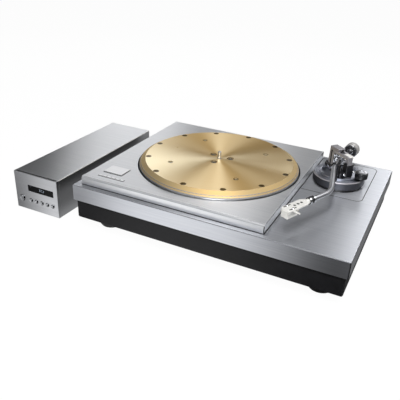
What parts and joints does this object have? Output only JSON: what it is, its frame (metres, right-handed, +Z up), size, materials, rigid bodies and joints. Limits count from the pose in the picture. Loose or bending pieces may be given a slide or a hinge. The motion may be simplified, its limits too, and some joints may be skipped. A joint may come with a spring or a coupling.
{
  "type": "turntable",
  "caption": "Direct-drive turntable on a thick slab plinth, with a heavy brass-topped platter, an S-shaped tonearm on a square bridge, and a separate control unit.",
  "frame": {"origin": "on the ground under the middle of the set's box", "axes": "+Z up, front faces -Y, +X to the right with the control unit at the left"},
  "size_m": [0.691, 0.399, 0.1674],
  "materials": {
    "slab": "brushed, clear anodised",
    "base": "matt black moulded composite",
    "foot": "matt black",
    "armboard": "brushed, clear anodised",
    "case": "brushed, clear anodised",
    "brass": "turned, radial sheen",
    "rim": "turned",
    "plug": "dark",
    "steel": "machined",
    "bright": "polished",
    "bronze": "sintered bronze",
    "board": "glass fibre board",
    "copper": "wound enamelled wire",
    "magnet": "ferrite",
    "iron": "plated iron",
    "key": "fine brushed",
    "black_metal": "satin black",
    "grey_metal": "dark anodised",
    "bridge_grey": "satin grey",
    "black_plastic": "moulded",
    "glass": "smoked pane",
    "panel": "brushed front panel",
    "cover": "brushed cover",
    "winding": "taped winding"
  },
  "bodies": {
    "root": {"plinth_top": "slab", "plinth_base": "base", "armboard": "armboard", "socket_panel": "black_metal", "unit_case": "case", "unit_front_plate": "case", "bearing_housing": "steel", "bearing_bush": "bronze", "stator_board": "board", "stator_coils": "copper", "arm_pillar": "black_metal", "control_case": "cover", "control_front": "panel", "display_window": "glass", "control_board": "board", "transformer": "winding", "control_rear": "black_metal", "control_feet": "foot"},
    "platter": {"platter_body": "rim", "brass_plate": "brass", "platter_weights": "plug", "plate_screws": "steel", "rotor_screws": "steel", "spindle": "bright", "rotor_disc": "iron", "rotor_magnets": "magnet"},
    "height_ring": {"height_ring": "black_metal"},
    "arm_base": {"arm_base": "grey_metal", "bridge": "bridge_grey", "bridge_screw": "black_metal", "lifter_housing": "black_metal", "arm_rest": "black_plastic"},
    "gimbal": {"gimbal_frame": "bright"},
    "arm": {"arm_hub": "bright", "arm_tube": "bright", "weight_shaft": "bright", "headshell": "bridge_grey", "cartridge": "black_plastic", "stylus": "bright"},
    "foot_front_left": {"foot_front_left": "foot"},
    "foot_front_right": {"foot_front_right": "foot"},
    "foot_rear_left": {"foot_rear_left": "foot"},
    "foot_rear_right": {"foot_rear_right": "foot"},
    "start_stop_key": {"start_stop_key": "key"},
    "speed_key_1": {"speed_key_1": "key"},
    "speed_key_2": {"speed_key_2": "key"},
    "speed_key_3": {"speed_key_3": "key"},
    "counterweight": {"counterweight": "bright"},
    "weight_dial": {"weight_dial": "black_metal"},
    "tube_collar": {"tube_collar": "black_metal"},
    "anti_skate_knob": {"anti_skate_knob": "black_metal"},
    "cue_lever": {"cue_lever": "bright"},
    "lifter_bar": {"lifter_bar": "black_plastic"},
    "arm_clip": {"arm_clip": "black_plastic"},
    "power_button": {"power_button": "key"},
    "button_1": {"button_1": "key"},
    "button_2": {"button_2": "key"},
    "button_3": {"button_3": "key"},
    "button_4": {"button_4": "key"},
    "button_5": {"button_5": "key"}
  },
  "joints": [
    {"name": "foot_front_left_turn", "type": "hinge", "parent": "root", "child": "foot_front_left", "pos_m": [-0.136, -0.145, 0], "axis": [0, 0, 1], "range_deg": [-180, 180]},
    {"name": "foot_front_right_turn", "type": "hinge", "parent": "root", "child": "foot_front_right", "pos_m": [0.296, -0.145, 0], "axis": [0, 0, 1], "range_deg": [-180, 180]},
    {"name": "foot_rear_left_turn", "type": "hinge", "parent": "root", "child": "foot_rear_left", "pos_m": [-0.136, 0.145, 0], "axis": [0, 0, 1], "range_deg": [-180, 180]},
    {"name": "foot_rear_right_turn", "type": "hinge", "parent": "root", "child": "foot_rear_right", "pos_m": [0.296, 0.145, 0], "axis": [0, 0, 1], "range_deg": [-180, 180]},
    {"name": "platter_spin", "type": "hinge", "parent": "root", "child": "platter", "pos_m": [0.0292, 0.0006, 0.1], "axis": [0, 0, 1], "continuous": true},
    {"name": "start_stop_press", "type": "slide", "parent": "root", "child": "start_stop_key", "axis": [0, 0, -1], "range_m": [0, 0.001], "stiffness_N_per_m": 900, "springref_m": -0.001},
    {"name": "speed_1_press", "type": "slide", "parent": "root", "child": "speed_key_1", "axis": [0, 0, -1], "range_m": [0, 0.001], "stiffness_N_per_m": 400, "springref_m": -0.001},
    {"name": "speed_2_press", "type": "slide", "parent": "root", "child": "speed_key_2", "axis": [0, 0, -1], "range_m": [0, 0.001], "stiffness_N_per_m": 400, "springref_m": -0.001},
    {"name": "speed_3_press", "type": "slide", "parent": "root", "child": "speed_key_3", "axis": [0, 0, -1], "range_m": [0, 0.001], "stiffness_N_per_m": 400, "springref_m": -0.001},
    {"name": "power_press", "type": "slide", "parent": "root", "child": "power_button", "axis": [0, 1, 0], "range_m": [0, 0.0015], "stiffness_N_per_m": 400, "springref_m": -0.001},
    {"name": "button_1_press", "type": "slide", "parent": "root", "child": "button_1", "axis": [0, 1, 0], "range_m": [0, 0.0015], "stiffness_N_per_m": 300, "springref_m": -0.001},
    {"name": "button_2_press", "type": "slide", "parent": "root", "child": "button_2", "axis": [0, 1, 0], "range_m": [0, 0.0015], "stiffness_N_per_m": 300, "springref_m": -0.001},
    {"name": "button_3_press", "type": "slide", "parent": "root", "child": "button_3", "axis": [0, 1, 0], "range_m": [0, 0.0015], "stiffness_N_per_m": 300, "springref_m": -0.001},
    {"name": "button_4_press", "type": "slide", "parent": "root", "child": "button_4", "axis": [0, 1, 0], "range_m": [0, 0.0015], "stiffness_N_per_m": 300, "springref_m": -0.001},
    {"name": "button_5_press", "type": "slide", "parent": "root", "child": "button_5", "axis": [0, 1, 0], "range_m": [0, 0.0015], "stiffness_N_per_m": 300, "springref_m": -0.001},
    {"name": "height_turn", "type": "hinge", "parent": "root", "child": "height_ring", "pos_m": [0.257, 0.077, 0.1015], "axis": [0, 0, 1], "range_deg": [0, 180]},
    {"name": "height_slide", "type": "slide", "parent": "root", "child": "arm_base", "axis": [0, 0, 1], "range_m": [0, 0.006]},
    {"name": "arm_yaw", "type": "hinge", "parent": "arm_base", "child": "gimbal", "pos_m": [0.257, 0.077, 0.146], "axis": [0, 0, -1], "range_deg": [0, 54]},
    {"name": "arm_lift", "type": "hinge", "parent": "gimbal", "child": "arm", "pos_m": [0.257, 0.077, 0.146], "axis": [-0.9954, 0.0958, 0], "range_deg": [0, 8]},
    {"name": "weight_turn", "type": "hinge", "parent": "arm", "child": "counterweight", "pos_m": [0.257, 0.077, 0.146], "axis": [0.0958, 0.9954, 0], "range_deg": [-180, 180]},
    {"name": "dial_turn", "type": "hinge", "parent": "arm", "child": "weight_dial", "pos_m": [0.257, 0.077, 0.146], "axis": [0.0958, 0.9954, 0], "range_deg": [-180, 180]},
    {"name": "collar_turn", "type": "hinge", "parent": "arm", "child": "tube_collar", "pos_m": [0.25324, -0.12387, 0.146], "axis": [-0.3907, -0.9205, 0], "range_deg": [0, 60]},
    {"name": "anti_skate_turn", "type": "hinge", "parent": "arm_base", "child": "anti_skate_knob", "pos_m": [0.301, 0.066, 0.12], "axis": [0, 0, 1], "range_deg": [0, 270]},
    {"name": "cue_lever_turn", "type": "hinge", "parent": "arm_base", "child": "cue_lever", "pos_m": [0.27159, 0.05281, 0.126], "axis": [0.9703, 0.2419, 0], "range_deg": [0, 28]},
    {"name": "lifter_slide", "type": "slide", "parent": "arm_base", "child": "lifter_bar", "axis": [0, 0, -1], "range_m": [0, 0.005]},
    {"name": "clip_turn", "type": "hinge", "parent": "arm_base", "child": "arm_clip", "pos_m": [0.26025, 0.03349, 0.1521], "axis": [-0.0958, -0.9954, 0], "range_deg": [0, 100]}
  ],
  "couplings": [
    {"joint": "height_slide", "follows": "height_turn", "m_per_rad": 0.0019},
    {"joint": "cue_lever_turn", "follows": "lifter_slide", "rad_per_m": 97.7}
  ]
}
